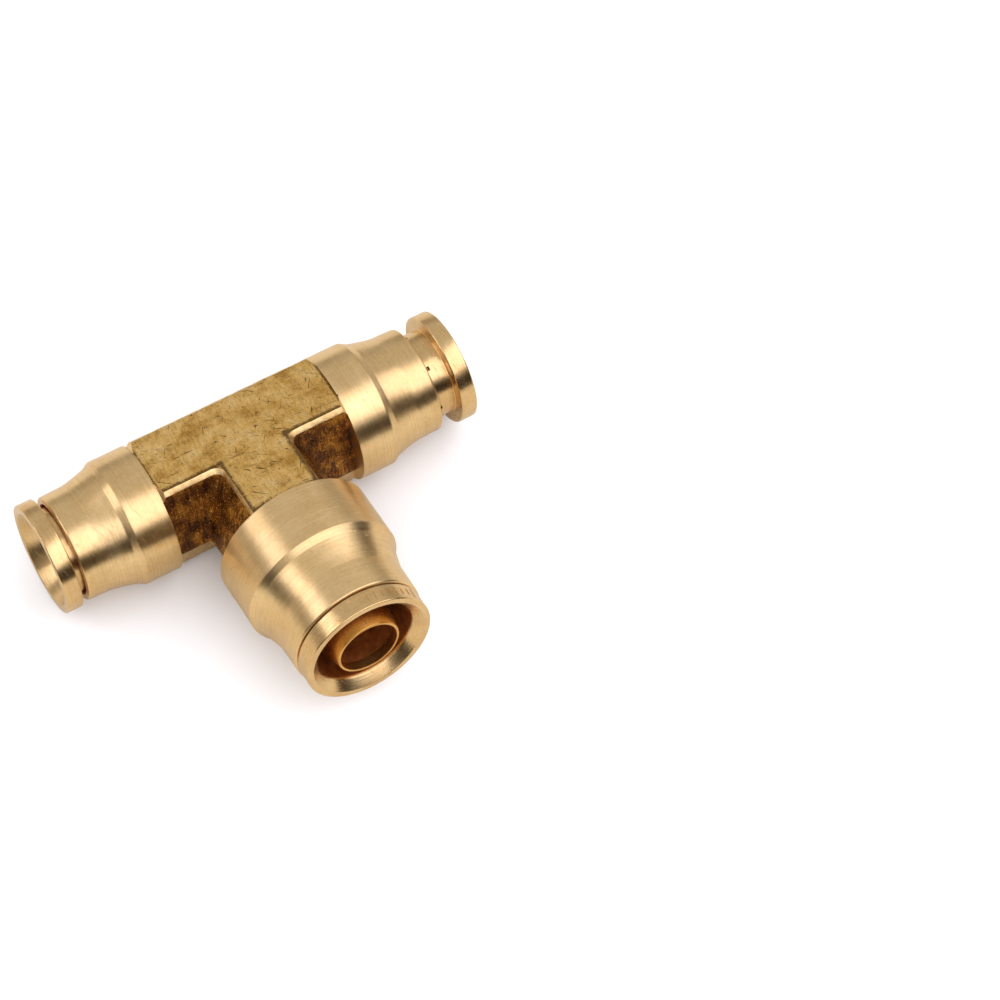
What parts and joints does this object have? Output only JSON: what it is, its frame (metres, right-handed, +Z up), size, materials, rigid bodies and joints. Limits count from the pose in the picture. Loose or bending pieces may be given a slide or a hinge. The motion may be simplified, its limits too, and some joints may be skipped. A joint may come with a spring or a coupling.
{
  "type": "push to connect fitting",
  "caption": "Brass reducing tee with sliding release collars: push in plastic air tube at both run ends and a larger tube at the branch.",
  "frame": {"origin": "centre of the block's lower flat, straight below the point where the three bores cross", "axes": "+X along the run towards its right port, -Y out of the branch port, +Z up through the upper flat"},
  "size_m": [0.0583, 0.0412, 0.0206],
  "materials": {
    "body_brass": "forged block, satin turned barrels",
    "collet_brass": "satin turned",
    "support_brass": "drawn tube, bright rim",
    "nitrile": "moulded black",
    "acetal": "moulded natural"
  },
  "bodies": {
    "fitting": {"body": "body_brass", "run_left_tube_support": "support_brass", "run_left_o_ring": "nitrile", "run_right_tube_support": "support_brass", "run_right_o_ring": "nitrile", "branch_tube_support": "support_brass", "branch_o_ring": "nitrile"},
    "run_left_ring": {"run_left_backup_ring": "acetal"},
    "run_left_gripper": {"run_left_collet": "collet_brass"},
    "run_right_ring": {"run_right_backup_ring": "acetal"},
    "run_right_gripper": {"run_right_collet": "collet_brass"},
    "branch_ring": {"branch_backup_ring": "acetal"},
    "branch_gripper": {"branch_collet": "collet_brass"}
  },
  "joints": [
    {"name": "run_left_turn", "type": "hinge", "parent": "fitting", "child": "run_left_ring", "pos_m": [-0.0168, 0, 0.008], "axis": [-1, 0, 0], "continuous": true},
    {"name": "run_left_slide", "type": "slide", "parent": "run_left_ring", "child": "run_left_gripper", "axis": [-1, 0, 0], "range_m": [-0.00085, 0.002]},
    {"name": "run_right_turn", "type": "hinge", "parent": "fitting", "child": "run_right_ring", "pos_m": [0.0168, 0, 0.008], "axis": [1, 0, 0], "continuous": true},
    {"name": "run_right_slide", "type": "slide", "parent": "run_right_ring", "child": "run_right_gripper", "axis": [1, 0, 0], "range_m": [-0.00265, 0.0002]},
    {"name": "branch_turn", "type": "hinge", "parent": "fitting", "child": "branch_ring", "pos_m": [0, -0.0203, 0.008], "axis": [0, -1, 0], "continuous": true},
    {"name": "branch_slide", "type": "slide", "parent": "branch_ring", "child": "branch_gripper", "axis": [0, -1, 0], "range_m": [-0.0001, 0.00275]}
  ]
}
